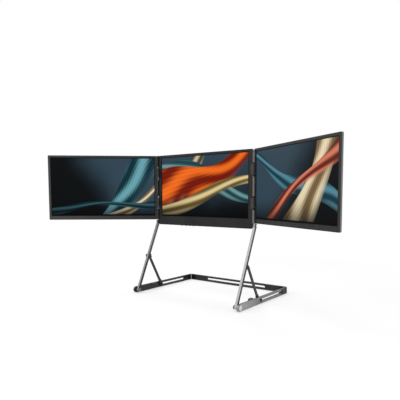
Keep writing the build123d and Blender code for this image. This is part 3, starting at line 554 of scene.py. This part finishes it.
# The displays: lit panels under a matt film, held between the frames and the backlights. Each shows a
# wallpaper of silky bands over a night-blue ground that brightens upwards and towards the set's middle,
# inside a thin unlit border that is wider at the bottom.
def band(panel, picture, across, up, course, breadth, dark, bright):
    """One silky band laid over the picture, along a wavy course that is turned by an angle."""
    angle, start, swing, beat, phase = course
    angle = math.radians(angle)
    along = across * math.cos(angle) + up * math.sin(angle)
    aside = up * math.cos(angle) - across * math.sin(angle)
    middle = (along * beat + phase).sin() * swing + start
    reach = (along * (beat * 0.7) + phase * 1.7).sin() * (breadth * 0.4) + breadth
    side = (aside - middle) / reach
    cover = 1 - side.abs().ramp(0.93, 1.0)
    folds = (side * 4.5 + (along * (beat * 1.3) + phase).sin() * 1.8).sin() * 0.5 + 0.5
    silk = (side * 31.0 + (along * beat).sin() * 7.0).sin() * 0.08
    colour = panel.mix((folds * 0.85 + silk).ramp(0.0, 1.0), dark, bright)
    shade = side.ramp(-1.0, -0.4) * 0.7 + 0.3
    return panel.mix(cover * shade, picture, colour)


wallpapers = {
    "centre": [
        ((58, -0.06, 0.05, 6.0, 1.0), 0.100, tone(70, 62, 44), tone(206, 190, 150)),
        ((-14, 0.46, 0.06, 5.4, 0.2), 0.055, tone(22, 66, 74), tone(112, 152, 150)),
        ((24, 0.13, 0.07, 5.2, 0.6), 0.150, tone(112, 24, 6), tone(246, 110, 34)),
        ((12, 0.08, 0.05, 4.3, 4.0), 0.046, tone(104, 84, 44), tone(226, 206, 150)),
    ],
    "right_wing": [
        ((-20, 0.46, 0.04, 6.6, 3.0), 0.055, tone(18, 58, 70), tone(86, 134, 150)),
        ((66, -0.56, 0.05, 5.0, 1.4), 0.165, tone(112, 90, 60), tone(236, 218, 180)),
        ((34, -0.12, 0.04, 5.6, 5.0), 0.060, tone(96, 34, 22), tone(214, 124, 96)),
    ],
    "left_wing": [
        ((48, -0.38, 0.05, 5.0, 2.6), 0.100, tone(14, 48, 58), tone(106, 166, 176)),
        ((34, -0.34, 0.04, 6.0, 0.4), 0.046, tone(120, 96, 62), tone(236, 222, 190)),
        ((4, 0.06, 0.03, 6.3, 5.1), 0.034, tone(16, 44, 52), tone(60, 104, 112)),
    ],
}
inward = {"centre": 0.0, "right_wing": -1.1, "left_wing": 1.1}
half_up = 0.28124
bottom_border = 0.009
border = (0.0035, 0.0045)
for name, (corner, turn) in screens.items():
    panel = Material(f"{name}_display", Specular_IOR_Level=0.035, Roughness=0.3, Emission_Strength=1.0)
    spot = panel.split(panel.place((lit_width, lit_width, lit_width), (0, 0, turn), corner))
    across, up = spot["X"], spot["Z"]
    ground = ((across - 0.5) * inward[name] + up * 0.8 + 0.22).ramp(0.12, 0.78)
    cloud = panel.noise(panel.place((lit_width, 1, lit_width), (0, 0, turn), corner), 2.6, 4.0, 0.5)
    picture = panel.mix((ground + (cloud - 0.5) * 0.5).ramp(0.0, 1.0), tone(13, 17, 19), tone(52, 70, 82))
    for course, breadth, dark, bright in wallpapers[name]:
        picture = band(panel, picture, across, up, course, breadth, dark, bright)
    picture = panel.mix(up.ramp(-0.06, 0.2), tone(8, 8, 9), picture)
    margin = (0.5 - (across - 0.5).abs()).smaller(half_up - (up - half_up).abs())
    lit = margin.smaller(up - bottom_border).ramp(*border)
    panel.set("Emission Color", panel.mix(lit, grey(4), picture))
    panel.set("Base Color", panel.mix(lit, grey(4), grey(9)))
    film = panel.noise(panel.place(), 2200.0, 2.0, 0.5)
    panel.set("Roughness", film * 0.12 + 0.26)
    panel.bump(film, 0.00001, 0.3)
    panel.dress(f"{name}_display_panel")


# The backlights behind the panels: white trays of moulded plastic that hold the light guides and lie in the
# covers.
tray_plastic = Material("tray_plastic", Specular_IOR_Level=0.4)
surface(tray_plastic, grey(206), grey(222), grey(236),
        rough=0.6, grain_size=0.0008, depth=0.00006, rounding=0.0004)
tray_plastic.dress("centre_backlight_tray", "left_wing_backlight_tray", "right_wing_backlight_tray")


# The brackets in the chin's ends, which hold the tilt pins: milled steel with a dull zinc finish, fixed
# inside the centre cover.
zinc = Material("zinc_steel", Metallic=0.9)
surface(zinc, grey(118), grey(140), grey(190),
        rough=0.42, grain_size=0.0016, depth=0.00005, rounding=0.0004)
zinc.dress("tilt_brackets")


# The boards: glass-fibre sheets with a green mask over the copper, fixed to the insides of the covers. The
# tracks show as slightly raised lines.
board_mask = Material("board_mask", Specular_IOR_Level=0.5)
board_place = board_mask.place()
weave = board_mask.noise(board_place, 1800.0, 2.0, 0.5)
track_inputs = {"Vector": board_place, "Scale": 260.0}
blocks = board_mask.node("ShaderNodeTexVoronoi", {"distance": "MANHATTAN"}, track_inputs)
tracks = 1 - blocks["Distance"].ramp(0.28, 0.34)
board_mask.set("Base Color", board_mask.mix(tracks, tone(16, 78, 50), tone(28, 104, 66)))
board_mask.set("Roughness", weave * 0.15 + 0.28)
board_mask.bump(tracks * 0.8 + weave * 0.2, 0.00005, 0.6)
board_mask.dress("main_board", "button_board", "left_wing_driver_board", "right_wing_driver_board")


# The sockets in the back of the chin: shells folded from tinned steel, which are let into openings in the
# centre cover.
tin = Material("tinned_steel", Metallic=0.95)
surface(tin, grey(116), grey(134), grey(190),
        rough=0.3, grain_size=0.0009, depth=0.00002, rounding=0.0003)
tin.dress("usb_sockets", "video_socket")


# The speakers' boxes, the switches and the four buttons under the chin: black moulded plastic with a satin
# skin. The boxes sit in the cover, the switches on the button board, and the buttons slide in the frame.
box_plastic = Material("box_plastic", Specular_IOR_Level=0.4)
surface(box_plastic, grey(28), grey(38), grey(82),
        rough=0.5, grain_size=0.0006, depth=0.00005, rounding=0.0004)
box_plastic.dress("speakers", "button_switches")
button_plastic = Material("button_plastic", Specular_IOR_Level=0.4)
surface(button_plastic, grey(46), grey(58), grey(128),
        rough=0.36, grain_size=0.0005, depth=0.00003, rounding=0.0005)
button_plastic.dress("power_button", "menu_button", "down_button", "up_button")


# The strips on the centre's left side: soft black plastic that is stuck to the side and fills the space
# behind the raised left hinges.
strip_plastic = Material("strip_plastic", Specular_IOR_Level=0.25)
surface(strip_plastic, grey(30), grey(36), grey(42),
        rough=0.66, grain_size=0.0006, depth=0.00006, rounding=0.0005)
strip_plastic.dress("left_side_strips")


# The hinges: cast blocks set into the centre's sides, and leaves inside the wings. Both are painted dark
# grey and rubbed paler along the edges; on the right ones the paler edges are also a painted highlight.
# The right hinges' paler edges are partly a painted highlight.
for name, wear_and_highlight in (("left_hinge_blocks", 84), ("right_hinge_blocks", 140),
                   ("left_wing_hinge_leaves", 60), ("right_wing_hinge_leaves", 96)):
    hinge_paint = Material(f"{name}_paint", Metallic=0.4, Specular_IOR_Level=0.4)
    surface(hinge_paint, grey(56), grey(66), grey(wear_and_highlight),
            rough=0.44, grain_size=0.0007, depth=0.00008, rounding=0.0006)
    hinge_paint.dress(name)


# The screws in the back of the centre screen and in the corners: blackened steel, with a six-sided socket
# in a head that lies level with the surface. The heads' rims and the sockets' edges are rubbed bright by
# the key.
face_level = -1e-6


def socket_screw(name, radius, head, shank_radius, length, key_radius):
    """A screw that stands along Z with the face of its head at the origin, turned from a cylinder."""
    bpy.ops.object.select_all(action="DESELECT")
    bpy.ops.mesh.primitive_cylinder_add(vertices=32, radius=radius, depth=head, location=(0, 0, -head / 2))
    screw = bpy.context.object
    screw.name = name
    bpy.ops.object.transform_apply()
    bpy.ops.object.mode_set(mode="EDIT")
    mesh = bmesh.from_edit_mesh(screw.data)
    bpy.ops.mesh.select_mode(type="FACE")
    for face in mesh.faces:
        face.select = face.normal.z < -0.9
    bpy.ops.mesh.inset(thickness=radius - shank_radius)
    bpy.ops.mesh.extrude_region_move(TRANSFORM_OT_translate={"value": (0, 0, head - length)})
    bpy.ops.mesh.select_all(action="DESELECT")
    mesh = bmesh.from_edit_mesh(screw.data)
    for face in mesh.faces:
        face.select = face.normal.z > 0.9 and face.calc_center_median().z > face_level
    bpy.ops.mesh.inset(thickness=radius * 0.12)
    bpy.ops.mesh.inset(thickness=radius * 0.14)
    bpy.ops.mesh.delete(type="ONLY_FACE")
    bpy.ops.mesh.select_mode(type="EDGE")
    bpy.ops.mesh.select_all(action="DESELECT")
    bpy.ops.mesh.primitive_circle_add(vertices=6, radius=key_radius, location=(0, 0, 0))
    mesh = bmesh.from_edit_mesh(screw.data)
    for edge in mesh.edges:
        edge.select = edge.is_boundary
    bpy.ops.mesh.bridge_edge_loops()
    mesh = bmesh.from_edit_mesh(screw.data)
    for edge in mesh.edges:
        edge.select = edge.is_boundary
    bpy.ops.mesh.extrude_region_move(TRANSFORM_OT_translate={"value": (0, 0, -radius * 0.55)})
    bpy.ops.mesh.edge_face_add()
    bpy.ops.mesh.inset(thickness=key_radius * 0.3)
    bpy.ops.transform.translate(value=(0, 0, -radius * 0.15))
    bpy.ops.mesh.select_mode(type="EDGE")
    bpy.ops.mesh.select_all(action="DESELECT")
    mesh = bmesh.from_edit_mesh(screw.data)
    for edge in mesh.edges:
        edge.select = all(v.co.z > face_level and v.co.xy.length > radius * 0.99 for v in edge.verts)
    bpy.ops.mesh.bevel(offset=radius * 0.07, segments=3)
    bpy.ops.mesh.select_all(action="SELECT")
    bpy.ops.mesh.normals_make_consistent(inside=False)
    bpy.ops.object.mode_set(mode="OBJECT")
    bpy.ops.object.shade_smooth_by_angle(angle=math.radians(35))
    return screw


def set_screws(name, model, turns_and_places):
    """Copies of one screw, each turned and put in its hole, joined into one piece."""
    copies = []
    for turn, place in turns_and_places:
        copy = model.copy()
        copy.data = model.data.copy()
        copy.data.transform(Matrix.Translation(place) @ Euler(turn).to_matrix().to_4x4())
        bpy.context.collection.objects.link(copy)
        copies.append(copy)
    bpy.data.objects.remove(model)
    bpy.ops.object.select_all(action="DESELECT")
    for copy in copies:
        copy.select_set(True)
    bpy.context.view_layer.objects.active = copies[0]
    bpy.ops.object.join()
    copies[0].name = name
    return copies[0]


quarter = math.pi / 2
cover_face = -0.17807
cover_sides = (-0.1752, 0.0, 0.1752)
cover_rows = (0.262295, 0.443195)
turn_by_place = 3.5
cover_places = []
for x in cover_sides:
    for z in cover_rows:
        cover_places.append(((-quarter, turn_by_place * x, 0), (x, cover_face, z)))
side_screw = (0.1992, -0.0342)
rear_screw = (0.1688, -0.0038)
corner_height = 0.0108
corner_places = []
for hand in (-1, 1):
    corner_places.append(((0, -quarter * hand, 0), (side_screw[0] * hand, side_screw[1], corner_height)))
    corner_places.append(((quarter, 0, 0), (rear_screw[0] * hand, rear_screw[1], corner_height)))
cover_model = socket_screw("cover_screw", radius=0.0021, head=0.0007, shank_radius=0.0012,
                           length=0.0048, key_radius=0.0009)
cover_screw_set = set_screws("cover_screw_set", cover_model, cover_places)
corner_model = socket_screw("corner_screw", radius=0.0025, head=0.0012, shank_radius=0.0014,
                            length=0.0049, key_radius=0.0011)
corner_screw_set = set_screws("corner_screw_set", corner_model, corner_places)
screw_sets = (
    (cover_screw_set, "cover_screws", "centre_screen"),
    (corner_screw_set, "corner_screws", "base"),
)
for screws, node, body in screw_sets:
    screw_steel = Material(f"{node}_steel", Metallic=0.6, Specular_IOR_Level=0.4)
    surface(screw_steel, grey(34), grey(44), grey(150),
            rough=0.36, grain_size=0.0004, depth=0.00003, rounding=0.0002)
    screws.data.materials.clear()
    screws.data.materials.append(screw_steel.data)
    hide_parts(node)
    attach(screws, body)
